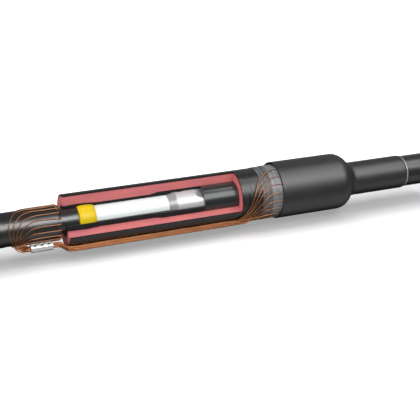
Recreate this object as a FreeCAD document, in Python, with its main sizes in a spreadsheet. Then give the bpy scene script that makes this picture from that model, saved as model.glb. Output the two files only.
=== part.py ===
import FreeCAD, Part
import math
import os
import re

import Sketcher
from FreeCAD import Rotation, Vector

# Cable joint for a single core screened power cable, cut open along its left half.
# The cable runs along X, Z is up and the front is the -Y side. The origin is the
# joint's centre on the cable's axis. Angles run round the axis from the front, upward.

SIZES = [
    # the cable, from its core outward
    ("tail_reach", 290.0, "cable's cut end to the joint's centre"),
    ("strand_diameter", 2.9, "one strand of the conductor"),
    ("conductor_screen_wall", 0.75, "black layer on the strands"),
    ("insulation_wall", 4.5, "white insulation"),
    ("insulation_screen_wall", 0.8, "black layer on the insulation"),
    ("wire_diameter", 1.3, "one copper screen wire"),
    ("wire_clearance", 0.05, "gap each side of a screen wire"),
    ("jacket_wall", 3.3, "outer jacket of the cable"),
    # where each layer is cut back
    ("jacket_gap", 8.3, "joint body's end to the jacket's cut"),
    ("abraded_depth", 0.3, "jacket roughened down under the wires and the sleeve"),
    ("left_abraded_end", 223.0, "left jacket is roughened from its cut to here"),
    ("right_abraded_end", 248.8, "right jacket is roughened from its cut to here"),
    ("screen_inset", 23.0, "joint body's end to the cut of the insulation screen"),
    ("mastic_inset", 13.6, "joint body's end to the stress mastic"),
    ("mastic_length", 18.9, "stress mastic, end to end"),
    ("mastic_crown", 1.5, "mastic's height on the insulation screen"),
    ("mastic_step", 0.5, "mastic's height at its edges"),
    ("mastic_slope", 4.0, "length of the mastic's slopes"),
    ("mastic_edge_rounding", 2.0, "length of the steeper slope at its inner edge"),
    ("mastic_edge_rise", 0.7, "rise of the steeper slope at its inner edge"),
    # the connector
    ("barrel_length", 93.0, "connector, end to end"),
    ("barrel_radius", 14.5, "connector's outside"),
    ("barrel_nose", 8.5, "length of the cone at each end"),
    ("nose_step", 0.3, "insulation's height above the connector's end"),
    ("bore_clearance", 0.2, "conductor in the connector's bore"),
    ("barrel_stop", 1.6, "solid web in the middle of the bore"),
    ("bolt_near", 8.2, "inner bolts to the joint's centre"),
    ("bolt_far", 31.5, "outer bolts to the joint's centre"),
    ("bolt_near_angle", 66.5, "inner left bolt round the axis"),
    ("bolt_far_angle", 120.0, "outer left bolt round the axis"),
    ("bolt_diameter", 11.0, "clamping bolt"),
    ("pocket_diameter", 16.0, "flat land milled round each bolt"),
    ("pocket_height", 11.9, "flat land to the axis"),
    ("bolt_recess", 0.6, "sheared bolt below its flat land"),
    ("bolt_stub_diameter", 4.4, "torn stub on a sheared bolt"),
    ("bolt_stub_height", 0.4, "torn stub on a sheared bolt"),
    # the joint body
    ("body_length", 318.0, "moulded body, end to end"),
    ("body_radius", 28.3, "outside of its conductive skin"),
    ("skin_wall", 1.2, "conductive skin"),
    ("tube_wall", 3.2, "stress control tube on the insulation"),
    ("tube_mastic_wall", 2.1, "stress control tube on the mastic's crown"),
    ("tube_screen_wall", 3.1, "stress control tube at its ends"),
    ("tube_middle_wall", 2.9, "stress control tube on the connector"),
    ("tube_middle_reach", 55.5, "half the tube's thicker middle"),
    ("tube_middle_run", 8.5, "slope at each end of the thicker middle"),
    ("window_end", 32.6, "right end of the body's cut-out"),
    ("window_top", 92.0, "upper face of both cut-outs"),
    ("window_bottom", -20.0, "lower face of the body's cut-out"),
    ("tube_window_end", -7.3, "right end of the tube's cut-out"),
    ("tube_window_bottom", 0.0, "lower face of the tube's cut-out"),
    # the screen wires, their wrap, ferrule and bundle
    ("wire_count", 18.0, "screen wires of one cable"),
    ("first_wire_angle", 14.0, "a wire's place round the cable"),
    ("bundle_angle", -46.5, "the bundle's place round the joint"),
    ("bundle_radius", 3.0, "the gathered wires"),
    ("bundle_lobes", 9.0, "wires seen round the bundle"),
    ("bundle_groove", 0.48, "depth of the grooves between the gathered wires"),
    ("ferrule_wall", 1.6, "crimp ferrule"),
    ("ferrule_length", 23.0, "crimp ferrule"),
    ("ferrule_gap", 19.6, "jacket's cut to the middle of the ferrule"),
    ("ferrule_lift", 1.65, "jacket to the ferrule"),
    ("ferrule_chamfer", 0.4, "chamfer of the ferrule's outer edges"),
    ("dent_length", 4.5, "crimp dent in the ferrule"),
    ("dent_width", 3.2, "crimp dent in the ferrule"),
    ("dent_depth", 0.8, "crimp dent in the ferrule"),
    ("dent_pitch", 7.0, "one crimp dent to the next"),
    ("dent_turn", 107.0, "dents round the ferrule, from its outer side"),
    ("hook_reach", 1.3, "how far a left wire stands out from the jacket's cut"),
    ("left_front_span", 150.0, "left wires this near the bundle loop over the front"),
    ("loop_gap", 2.8, "ferrule's end to the nearest loop of a left wire"),
    ("loop_step", 1.5, "one left loop beyond the next"),
    ("loop_bow", 9.0, "more reach of the loops from the far side"),
    ("loop_sweep", 14.0, "length along the jacket of the nearest loop's turn"),
    ("loop_sweep_growth", 0.33, "more sweep for each millimetre of the wire's way round"),
    ("loop_drop", 6.0, "drop round the jacket of the nearest loop's turn"),
    ("loop_drop_growth", 0.47, "more drop for each millimetre of the wire's way round"),
    ("loop_step_angle", 18.3, "largest turn round the jacket in one straight step"),
    ("loop_last_angle", 14.3, "last step's end to the bundle, round the jacket"),
    ("loop_lift", 0.12, "left loops raised so that their straight steps clear the jacket"),
    ("join_gap", 2.6, "ferrule's end to the first wire in the left bundle"),
    ("left_bundle_reach", 14.5, "ferrule's end to the left bundle's tip"),
    ("bundle_tip_radius", 1.2, "a bundle's thin end"),
    ("climb_start", 8.5, "body's end to the bundle's lower bend"),
    ("climb_end", 2.0, "body's end to the bundle's upper bend"),
    ("right_front_span", 130.0, "right wires this near the bundle cross the front"),
    ("fan_start", 28.0, "where the bundle starts to spread"),
    ("fan_tip", 55.5, "where the bundle has spread"),
    ("fan_step", 1.5, "one wire leaving the bundle after the next"),
    ("fan_trail", 12.0, "more lead of the middle wires"),
    ("fan_first_angle", 8.0, "bundle to the nearest spread wire"),
    ("fan_spacing", 18.3, "angle between spread wires at the front"),
    ("fan_back_spacing", 17.6, "angle between spread wires at the back"),
    ("fan_corner", 65.3, "where a spread wire turns along the joint"),
    ("fan_lean", 0.12, "how much sooner a wire turns for each millimetre of its way round"),
    ("fan_bend", 6.0, "length of the smallest turn of a spread wire"),
    ("fan_bend_growth", 0.33, "more length of turn for each millimetre of the wire's way round"),
    ("fan_longest_step", 8.0, "longest straight step of a spread wire"),
    ("fan_lift", 0.25, "spread wires raised so that their straight steps clear the wrap"),
    ("wrap_margin", 4.0, "wrap's end to the body's end"),
    ("wrap_start", 56.0, "first turn of the metal wrap"),
    ("wrap_second_start", 68.0, "second turn of the metal wrap"),
    ("wrap_turn", 0.45, "thickness of one turn"),
    # the outer sleeve
    ("sleeve_start", 80.0, "sleeve's cut rim"),
    ("sleeve_end", 246.5, "sleeve's small end"),
    ("sleeve_clearance", 0.2, "screen wires to the sleeve"),
    ("sleeve_wall", 1.15, "sleeve over the body"),
    ("neck_wall", 1.5, "sleeve over the cable jacket"),
    ("shoulder_lead", 4.5, "body's end to the shoulder's upper corner"),
    ("shoulder_run", 11.5, "shoulder's upper corner to its lower one"),
    ("shoulder_rounding", 18.0, "rounding of the upper corner"),
    ("neck_rounding", 9.0, "rounding of the lower corner"),
    ("sleeve_taper", 2.0, "length of the thinned small end"),
    ("sleeve_lip", 0.9, "wall left at the small end's edge"),
    ("bead_width", 1.6, "ring of sealant at the small end"),
    ("bead_crest", 1.0, "flat crest of the ring of sealant"),
    ("bead_height", 0.85, "ring of sealant at the small end"),
    ("bead_foot", 0.5, "height of the ring's outer edge"),
]

# Sizes that follow from the ones above.
DERIVED = {
    "conductor_radius": "2.5 * strand_diameter",
    "core_radius": "conductor_radius + conductor_screen_wall",
    "insulation_radius": "core_radius + insulation_wall",
    "screen_radius": "insulation_radius + insulation_screen_wall",
    "wire_radius": "wire_diameter / 2",
    "wire_ring": "screen_radius + wire_clearance + wire_radius",
    "jacket_bore": "wire_ring + wire_radius + wire_clearance",
    "jacket_radius": "jacket_bore + jacket_wall",
    "seat_radius": "jacket_radius - abraded_depth",
    "body_end": "body_length / 2",
    "jacket_cut": "body_end + jacket_gap",
    "barrel_end": "barrel_length / 2",
    "barrel_shoulder": "barrel_end - barrel_nose",
    "barrel_bore": "conductor_radius + bore_clearance",
    "barrel_end_radius": "insulation_radius - nose_step",
    "conductor_cut": "barrel_stop / 2",
    "bolt_top": "pocket_height - bolt_recess",
    "screen_cut": "body_end - screen_inset",
    "mastic_outer_edge": "body_end - mastic_inset",
    "mastic_inner_edge": "mastic_outer_edge - mastic_length",
    "mastic_middle": "(mastic_inner_edge + mastic_outer_edge) / 2",
    "mastic_radius": "screen_radius + mastic_crown",
    "mastic_outer_step": "screen_radius + mastic_step",
    "mastic_inner_step": "insulation_radius + mastic_step",
    "red_radius": "body_radius - skin_wall",
    "window_angle": "window_top - window_bottom",
    "tube_window_angle": "window_top - tube_window_bottom",
    "ferrule_middle": "0 - jacket_cut - ferrule_gap",
    "ferrule_bore": "bundle_radius + wire_clearance",
    "ferrule_radius": "ferrule_bore + ferrule_wall",
    "ferrule_height": "jacket_radius + ferrule_lift + ferrule_radius",
    "bundle_height": "body_radius + wire_clearance + bundle_radius",
    "wrap_radius": "body_radius + 2 * wrap_turn",
    "wrap_end": "body_end - wrap_margin",
    "wire_on_jacket": "seat_radius + wire_clearance + wire_radius",
    "wire_on_wrap": "wrap_radius + wire_clearance + wire_radius",
    "shoulder_top": "body_end + shoulder_lead",
    "shoulder_foot": "shoulder_top + shoulder_run",
    "shoulder_shift": "0.43 * sleeve_wall",
    "stem_end": "sleeve_end - sleeve_taper",
    "sleeve_bore": "wire_on_wrap + wire_radius + sleeve_clearance",
    "sleeve_radius": "sleeve_bore + sleeve_wall",
    "neck_radius": "seat_radius + neck_wall",
}

doc = FreeCAD.newDocument("cable_joint")
sheet = doc.addObject("Spreadsheet::Sheet", "Sizes")
for row, (alias, number, note) in enumerate(SIZES, start=1):
    sheet.set("A%d" % row, alias)
    sheet.set("B%d" % row, str(number))
    sheet.setAlias("B%d" % row, alias)
    sheet.set("C%d" % row, note)
doc.recompute()
ALIASES = {alias for alias, number, note in SIZES}


def bound(text):
    """Write a formula on size names as an expression on the sheet's cells."""

    def swap(match):
        word = match.group(0)
        if word in DERIVED:
            return "(" + bound(DERIVED[word]) + ")"
        return "Sizes." + word if word in ALIASES else word

    return re.sub(r"[a-z][a-z_]*", swap, text)


def value(text):
    """Work out a formula on size names as a number."""
    return float(sheet.evalExpression(bound(text)))


def origin_plane(body, role):
    return [item for item in body.Origin.OriginFeatures if item.Role == role][0]


def new_body(name):
    body = doc.addObject("PartDesign::Body", name)
    body.Label = name
    return body


def new_sketch(body, name, role, turn="0", shift=("0", "0", "0")):
    """A sketch on an origin plane, turned about X and then shifted."""
    sketch = body.newObject("Sketcher::SketchObject", name)
    sketch.AttachmentSupport = (origin_plane(body, role), "")
    sketch.MapMode = "FlatFace"
    place = "placement(vector({}; {}; {}); rotation(vector(1; 0; 0); {}))"
    sketch.setExpression("AttachmentOffset", place.format(*[bound(item) for item in shift], bound(turn)))
    return sketch


def raised(along, height, angle):
    """A place at a height from the axis in the direction of an angle, as formulas."""
    return (along, "0 - (%s) * cos(%s)" % (height, angle), "(%s) * sin(%s)" % (height, angle))


def draw_outline(sketch, corners):
    """Close an outline through corners given as pairs of formulas, each corner bound."""
    spots = [Vector(value(x), value(y), 0) for x, y in corners]
    count = len(spots)
    for index in range(count):
        sketch.addGeometry(Part.LineSegment(spots[index], spots[(index + 1) % count]), False)
    for index in range(count):
        sketch.addConstraint(Sketcher.Constraint("Coincident", index, 2, (index + 1) % count, 1))
    for index, (x, y) in enumerate(corners):
        for kind, formula, number in (("DistanceX", x, spots[index].x), ("DistanceY", y, spots[index].y)):
            constraint = sketch.addConstraint(Sketcher.Constraint(kind, index, 1, number))
            label = "%s%d" % (kind[-1].lower(), index)
            sketch.renameConstraint(constraint, label)
            sketch.setExpression("Constraints." + label, bound(formula))


def draw_circle(sketch, x, y, radius):
    """A circle with its centre and radius bound."""
    centre = Vector(value(x), value(y), 0)
    circle = sketch.addGeometry(Part.Circle(centre, Vector(0, 0, 1), value(radius)), False)
    for kind, formula, number in (("DistanceX", x, centre.x), ("DistanceY", y, centre.y)):
        constraint = sketch.addConstraint(Sketcher.Constraint(kind, circle, 3, number))
        label = "%s%d" % (kind[-1].lower(), circle)
        sketch.renameConstraint(constraint, label)
        sketch.setExpression("Constraints." + label, bound(formula))
    constraint = sketch.addConstraint(Sketcher.Constraint("Radius", circle, value(radius)))
    sketch.renameConstraint(constraint, "radius%d" % circle)
    sketch.setExpression("Constraints.radius%d" % circle, bound(radius))


def turned(body, corners):
    """Revolve a half section, given as (x, radius) formulas, about the axis."""
    sketch = new_sketch(body, body.Name + "_section", "XZ_Plane")
    draw_outline(sketch, corners)
    feature = body.newObject("PartDesign::Revolution", body.Name + "_turned")
    feature.Profile = sketch
    feature.ReferenceAxis = (sketch, ["H_Axis"])
    feature.Angle = 360
    return body


def cut_window(body, start, end, angle):
    """Take a wedge out of a turned body, from the cut-outs' upper face downward."""
    sketch = new_sketch(body, body.Name + "_window", "XZ_Plane", turn="90 - window_top")
    reach = "2 * body_radius"
    draw_outline(sketch, [(start, "0"), (end, "0"), (end, reach), (start, reach)])
    feature = body.newObject("PartDesign::Groove", body.Name + "_cut")
    feature.Profile = sketch
    feature.ReferenceAxis = (sketch, ["H_Axis"])
    feature.setExpression("Angle", bound(angle))
    return body


def tube_corners(start, end, inner, outer):
    return [(start, inner), (end, inner), (end, outer), (start, outer)]


def group(name, members):
    """One node that holds several separate solids."""
    compound = doc.addObject("Part::Compound", name)
    compound.Label = name
    compound.Links = members
    return compound


def on_joint(x, radius, angle):
    """The point at a distance from the axis and an angle from the front."""
    turn = math.radians(angle)
    return Vector(x, -radius * math.cos(turn), radius * math.sin(turn))


# The two cables, each with its layers cut back in steps

MASTIC_OUTSIDE = [
    ("mastic_outer_edge", "screen_radius"),
    ("mastic_outer_edge", "mastic_outer_step"),
    ("mastic_middle + mastic_slope", "mastic_radius"),
    ("mastic_middle - mastic_slope / 2", "mastic_radius"),
    ("mastic_inner_edge + mastic_edge_rounding", "mastic_inner_step + mastic_edge_rise"),
    ("mastic_inner_edge", "mastic_inner_step"),
    ("mastic_inner_edge", "insulation_radius"),
]
nodes = []
for side, sign in (("left", "-"), ("right", "")):
    end = sign + "tail_reach"

    strands = []
    for ring, count in ((0, 1), (1, 6), (2, 12)):
        for step in range(count):
            name = "%s_strand_%d_%d" % (side, ring, step)
            strand = doc.addObject("Part::Cylinder", name)
            strand.setExpression("Radius", bound("strand_diameter / 2"))
            strand.setExpression("Height", bound("tail_reach - conductor_cut"))
            start = end if side == "left" else "conductor_cut"
            place = "placement(vector({}; {}; {}); rotation(vector(0; 1; 0); 90))"
            across = "%d * strand_diameter * cos(%d * 360 / %d)" % (ring, step, count)
            upward = "%d * strand_diameter * sin(%d * 360 / %d)" % (ring, step, count)
            strand.setExpression("Placement", place.format(bound(start), bound(across), bound(upward)))
            strands.append(strand)
    nodes.append(group(side + "_conductor", strands))

    for layer, inner, outer, cut in (
        ("conductor_screen", "conductor_radius", "core_radius", "barrel_end"),
        ("insulation", "core_radius", "insulation_radius", "barrel_end"),
        ("insulation_screen", "insulation_radius", "screen_radius", "screen_cut"),
    ):
        body = new_body("%s_%s" % (side, layer))
        nodes.append(turned(body, tube_corners(end, sign + cut, inner, outer)))

    # the jacket is roughened where the wires and the sleeve lie on it
    body = new_body(side + "_jacket")
    roughened_end = "%s%s_abraded_end" % (sign, side)
    nodes.append(turned(body, [
        (end, "jacket_bore"),
        (sign + "jacket_cut", "jacket_bore"),
        (sign + "jacket_cut", "seat_radius"),
        (roughened_end, "seat_radius"),
        (roughened_end, "jacket_radius"),
        (end, "jacket_radius"),
    ]))

    # the mastic covers the step where the insulation screen ends
    body = new_body(side + "_stress_mastic")
    corners = MASTIC_OUTSIDE + [("screen_cut", "insulation_radius"), ("screen_cut", "screen_radius")]
    nodes.append(turned(body, [("%s(%s)" % (sign, x), radius) for x, radius in corners]))

doc.recompute()

# The connector barrel with its lands and bolts

barrel = new_body("connector_barrel")
turned(barrel, [
    ("0 - barrel_end", "barrel_bore"),
    ("0 - conductor_cut", "barrel_bore"),
    ("0 - conductor_cut", "0"),
    ("conductor_cut", "0"),
    ("conductor_cut", "barrel_bore"),
    ("barrel_end", "barrel_bore"),
    ("barrel_end", "barrel_end_radius"),
    ("barrel_shoulder", "barrel_radius"),
    ("0 - barrel_shoulder", "barrel_radius"),
    ("0 - barrel_end", "barrel_end_radius"),
])
doc.recompute()

BOLTS = [
    ("left_near", "0 - bolt_near", "bolt_near_angle"),
    ("left_far", "0 - bolt_far", "bolt_far_angle"),
    ("right_near", "bolt_near", "180 - bolt_near_angle"),
    ("right_far", "bolt_far", "180 - bolt_far_angle"),
]
bolts = []
for name, along, angle in BOLTS:
    turn = "90 - (%s)" % angle
    cuts = (("land", "pocket_height", "pocket_diameter"), ("hole", "0", "bolt_diameter"))
    for step, height, diameter in cuts:
        shift = raised("0", height, angle)
        sketch = new_sketch(barrel, "%s_%s" % (name, step), "XY_Plane", turn=turn, shift=shift)
        draw_circle(sketch, along, "0", diameter + " / 2")
        pocket = barrel.newObject("PartDesign::Pocket", "%s_%s_cut" % (name, step))
        pocket.Profile = sketch
        pocket.setExpression("Length", bound("2 * barrel_radius"))
        pocket.Reversed = True
        doc.recompute()

    bolt = new_body(name + "_bolt")
    lower = ("shank", "conductor_radius", "bolt_top", "bolt_diameter")
    upper = ("stub", "bolt_top", "bolt_top + bolt_stub_height", "bolt_stub_diameter")
    for step, bottom, top, diameter in (lower, upper):
        shift = raised("0", bottom, angle)
        sketch = new_sketch(bolt, "%s_%s" % (name, step), "XY_Plane", turn=turn, shift=shift)
        draw_circle(sketch, along, "0", diameter + " / 2")
        pad = bolt.newObject("PartDesign::Pad", "%s_%s_pad" % (name, step))
        pad.Profile = sketch
        pad.setExpression("Length", bound("(%s) - (%s)" % (top, bottom)))
    bolts.append(bolt)
doc.recompute()
nodes.append(barrel)
nodes.append(group("shear_bolts", bolts))

# The stress control tube, the body and its skin, each bedded on what lies inside it

BED = [
    ("body_end", "screen_radius"),
    *MASTIC_OUTSIDE,
    ("barrel_end", "insulation_radius"),
    ("barrel_shoulder", "barrel_radius"),
]
TUBE_OUTSIDE = [
    ("body_end", "screen_radius + tube_screen_wall"),
    ("mastic_outer_edge", "mastic_radius + tube_mastic_wall"),
    ("mastic_middle", "mastic_radius + tube_mastic_wall"),
    ("mastic_inner_edge - mastic_slope", "insulation_radius + tube_wall"),
    ("tube_middle_reach + tube_middle_run", "insulation_radius + tube_wall"),
    ("tube_middle_reach", "barrel_radius + tube_middle_wall"),
]


def both_ends(corners):
    """Carry a half outline, given from the right end to the middle, on to the left end."""
    mirrored = [("0 - (%s)" % x, radius) for x, radius in corners]
    return corners + mirrored[::-1]


tube = new_body("stress_control_tube")
turned(tube, both_ends(BED) + both_ends(TUBE_OUTSIDE)[::-1])
doc.recompute()
nodes.append(cut_window(tube, "0 - jacket_cut", "tube_window_end", "tube_window_angle"))

red = new_body("insulating_body")
turned(red, both_ends(TUBE_OUTSIDE) + [("0 - body_end", "red_radius"), ("body_end", "red_radius")])
skin = new_body("body_screen")
turned(skin, tube_corners("0 - body_end", "body_end", "red_radius", "body_radius"))
doc.recompute()
for body in (red, skin):
    nodes.append(cut_window(body, "0 - jacket_cut", "window_end", "window_angle"))

# The metal wrap in two turns

wrap = new_body("shield_wrap")
nodes.append(turned(wrap, [
    ("wrap_start", "body_radius"),
    ("wrap_start", "body_radius + wrap_turn"),
    ("wrap_second_start", "body_radius + wrap_turn"),
    ("wrap_second_start", "wrap_radius"),
    ("wrap_end", "wrap_radius"),
    ("wrap_end", "body_radius"),
]))

# The outer sleeve with its rounded shoulder, and the sealant at its small end

sleeve = new_body("outer_sleeve")
turned(sleeve, [
    ("sleeve_start", "sleeve_bore"),
    ("shoulder_top - shoulder_shift", "sleeve_bore"),
    ("shoulder_foot - shoulder_shift", "seat_radius"),
    ("sleeve_end", "seat_radius"),
    ("sleeve_end", "seat_radius + sleeve_lip"),
    ("stem_end", "neck_radius"),
    ("shoulder_foot", "neck_radius"),
    ("shoulder_top", "sleeve_radius"),
    ("sleeve_start", "sleeve_radius"),
])
doc.recompute()


def round_corner(body, name, along, radius, rounding):
    """Round the circular edge of a turned body at a place along the axis."""
    edges = []
    for index, edge in enumerate(body.Tip.Shape.Edges, start=1):
        circle = edge.Curve
        if circle.TypeId != "Part::GeomCircle":
            continue
        if abs(circle.Center.x - value(along)) < 0.01 and abs(circle.Radius - value(radius)) < 0.01:
            edges.append("Edge%d" % index)
    base = body.Tip
    fillet = body.newObject("PartDesign::Fillet", name)
    fillet.Base = (base, edges)
    fillet.setExpression("Radius", bound(rounding))
    doc.recompute()


round_corner(sleeve, "shoulder_outside", "shoulder_top", "sleeve_radius", "shoulder_rounding")
round_corner(sleeve, "neck_outside", "shoulder_foot", "neck_radius", "neck_rounding")
round_corner(sleeve, "shoulder_inside", "shoulder_top - shoulder_shift", "sleeve_bore",
             "shoulder_rounding - sleeve_wall")
round_corner(sleeve, "neck_inside", "shoulder_foot - shoulder_shift", "seat_radius",
             "neck_rounding + neck_wall")
nodes.append(sleeve)

bead = new_body("sleeve_sealant")
nodes.append(turned(bead, [
    ("sleeve_end", "seat_radius"),
    ("sleeve_end", "seat_radius + bead_height"),
    ("sleeve_end + bead_crest", "seat_radius + bead_height"),
    ("sleeve_end + bead_width", "seat_radius + bead_foot"),
    ("sleeve_end + bead_width", "seat_radius"),
]))

# The crimp ferrule beside the left jacket, with its dents

ferrule = new_body("crimp_ferrule")
turned(ferrule, [
    ("0 - ferrule_length / 2", "ferrule_bore"),
    ("ferrule_length / 2", "ferrule_bore"),
    ("ferrule_length / 2", "ferrule_radius - ferrule_chamfer"),
    ("ferrule_length / 2 - ferrule_chamfer", "ferrule_radius"),
    ("ferrule_chamfer - ferrule_length / 2", "ferrule_radius"),
    ("0 - ferrule_length / 2", "ferrule_radius - ferrule_chamfer"),
])
doc.recompute()
for step in (-1, 0, 1):
    middle = "%d * dent_pitch" % step
    left = "%s - dent_length / 2" % middle
    right = "%s + dent_length / 2" % middle
    place = raised("0", "ferrule_radius - dent_depth", "90 - dent_turn")
    sketch = new_sketch(ferrule, "dent_%d" % (step + 2), "XY_Plane", turn="dent_turn", shift=place)
    low, high = "0 - dent_width / 2", "dent_width / 2"
    draw_outline(sketch, [(left, low), (right, low), (right, high), (left, high)])
    dent = ferrule.newObject("PartDesign::Pocket", "dent_cut_%d" % (step + 2))
    dent.Profile = sketch
    dent.setExpression("Length", bound("ferrule_radius"))
    dent.Reversed = True
    doc.recompute()
place = "placement(vector({}; {}; {}); rotation(vector(1; 0; 0); {}))"
spot = raised("ferrule_middle", "ferrule_height", "bundle_angle")
ferrule.setExpression("Placement", place.format(*[bound(item) for item in spot], bound("90 - bundle_angle")))
nodes.append(ferrule)
doc.recompute()

# Wires and bundles: rods bent in short straight steps, mitred at each bend


def bent_rod(route, radius, sides, groove=0.0):
    """Sweep a many sided section, with optional grooves, along a route of points."""
    ahead = (route[1] - route[0]).normalize()
    across = ahead.cross(Vector(0.2, 0.9, 0.4)).normalize()
    upward = ahead.cross(across)
    corners = []
    for step in range(sides):
        turn = 2 * math.pi * step / sides
        reach = radius - groove if groove and step % 3 == 0 else radius
        corners.append(route[0] + across * (reach * math.cos(turn)) + upward * (reach * math.sin(turn)))
    section = Part.makePolygon(corners + corners[:1])
    right_corner = 1
    return Part.makePolygon(route).makePipeShell([section], True, False, right_corner)


def rounded_corner(first, corner, last, reach, steps):
    """Replace a corner of a flat route by the straight steps of an arc."""
    back = (first - corner).normalize()
    onward = (last - corner).normalize()
    half_turn = (math.pi - back.getAngle(onward)) / 2
    radius = reach / math.tan(half_turn)
    middle = corner + (back + onward).normalize() * (radius / math.cos(half_turn))
    start = corner + back * reach
    spin = 1 if back.cross(onward).z < 0 else -1
    points = []
    for step in range(steps):
        turn = spin * 2 * half_turn * (step + 0.5) / steps
        arm = (start - middle) / math.cos(half_turn / steps)
        points.append(middle + Rotation(Vector(0, 0, 1), math.degrees(turn)).multVec(arm))
    return points


def laid_on(points, radius, side):
    """Wrap flat points, along and away from the bundle's line, round the axis."""
    turns = [side * math.degrees(point.y / radius) for point in points]
    return [on_joint(point.x, radius, bundle_angle + turn) for point, turn in zip(points, turns)]


def trim(rod, bundle):
    """Stop a wire at the bundle that it joins."""
    return max(rod.cut(bundle).Solids, key=lambda solid: solid.Volume)


def feature(name, shape):
    item = doc.addObject("Part::Feature", name)
    item.Label = name
    item.Shape = shape
    return item


wire_radius = value("wire_radius")
wire_ring = value("wire_ring")
tail = value("tail_reach")
jacket_cut = value("jacket_cut")
body_end = value("body_end")
bundle_angle = value("bundle_angle")
bundle_radius = value("bundle_radius")
tip_radius = value("bundle_tip_radius")
lobes = int(value("bundle_lobes"))
groove_share = value("bundle_groove") / bundle_radius
WIRE_SIDES = 6
LOBE_POINTS = 3
HOOK_ROUNDING = 0.4  # start of a hook's turn, as a share of its reach
INTO_BUNDLE = 0.3  # how far inside the bundle a wire ends, as a share of its radius
OVER_EDGE = 1.2  # a wire's height over the body's edge, in wire radii
BEND_STEPS = 4  # straight steps in the turn of a spread wire
BEND_LIMIT = 0.45  # longest turn, as a share of the way to the bundle


def bundle_rod(places, radius):
    """A bundle in the plane of the bundle's angle, through (x, height) places."""
    route = [on_joint(x, height, bundle_angle) for x, height in places]
    return bent_rod(route, radius, LOBE_POINTS * lobes, groove=groove_share * radius)


def bundle_taper(thick, thin):
    """The part of a bundle that thins out, from one (x, height, radius) to another."""
    rings = []
    for x, height, radius in (thick, thin):
        middle = on_joint(x, height, bundle_angle)
        groove = groove_share * radius
        ring = bent_rod([middle, middle + Vector(1, 0, 0)], radius, LOBE_POINTS * lobes, groove=groove)
        rings.append(min(ring.Faces, key=lambda face: abs(face.CenterOfMass.x - x)).OuterWire)
    return Part.makeLoft(rings, True, True)


# the left bundle, from its tip into the ferrule
ferrule_middle = value("ferrule_middle")
ferrule_height = value("ferrule_height")
ferrule_end = ferrule_middle - value("ferrule_length") / 2
join = ferrule_end - value("join_gap")
left_rod = bundle_rod([(ferrule_middle, ferrule_height), (join, ferrule_height)], bundle_radius)
left_tip = (ferrule_end - value("left_bundle_reach"), ferrule_height - 0.5 * bundle_radius, tip_radius)
left_bundle = left_rod.fuse(bundle_taper((join, ferrule_height, bundle_radius), left_tip)).removeSplitter()
nodes.append(feature("left_wire_bundle", left_bundle))

# the right bundle, out of the ferrule, up on to the body and along it to the fan
bundle_height = value("bundle_height")
climb_start = -body_end - value("climb_start")
climb_end = -body_end - value("climb_end")
fan_start = value("fan_start")
places = [
    (ferrule_middle, ferrule_height),
    (climb_start, ferrule_height),
    (climb_end, bundle_height),
    (fan_start, bundle_height),
]
right_rod = bundle_rod(places, bundle_radius)
right_tip = (value("fan_tip"), bundle_height - bundle_radius + tip_radius, tip_radius)
taper = bundle_taper((fan_start, bundle_height, bundle_radius), right_tip)
right_bundle = right_rod.fuse(taper).removeSplitter()
nodes.append(feature("right_wire_bundle", right_bundle))


def wire_places(front_span):
    """Each wire's angle from the bundle, its rank from the bundle and its way round."""
    count = int(value("wire_count"))
    places = []
    for index in range(count):
        angle = value("first_wire_angle") + index * 360.0 / count - bundle_angle
        places.append(angle % 360.0)
    front = sorted(away for away in places if away <= front_span)
    back = sorted(360.0 - away for away in places if away > front_span)
    ways = [(away, rank, 1) for rank, away in enumerate(front)]
    return ways + [(away, rank, -1) for rank, away in enumerate(back)]


def quarter_turn(start, end, steps):
    """The straight steps of a quarter ellipse that leaves along X and arrives across it."""
    reach = 1 / math.cos(math.pi / 4 / steps)
    points = []
    for step in range(steps):
        turn = math.pi / 2 * (step + 0.5) / steps
        along = start.x + (end.x - start.x) * reach * math.sin(turn)
        around = end.y + (start.y - end.y) * reach * math.cos(turn)
        points.append(Vector(along, around, 0))
    return points


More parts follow.
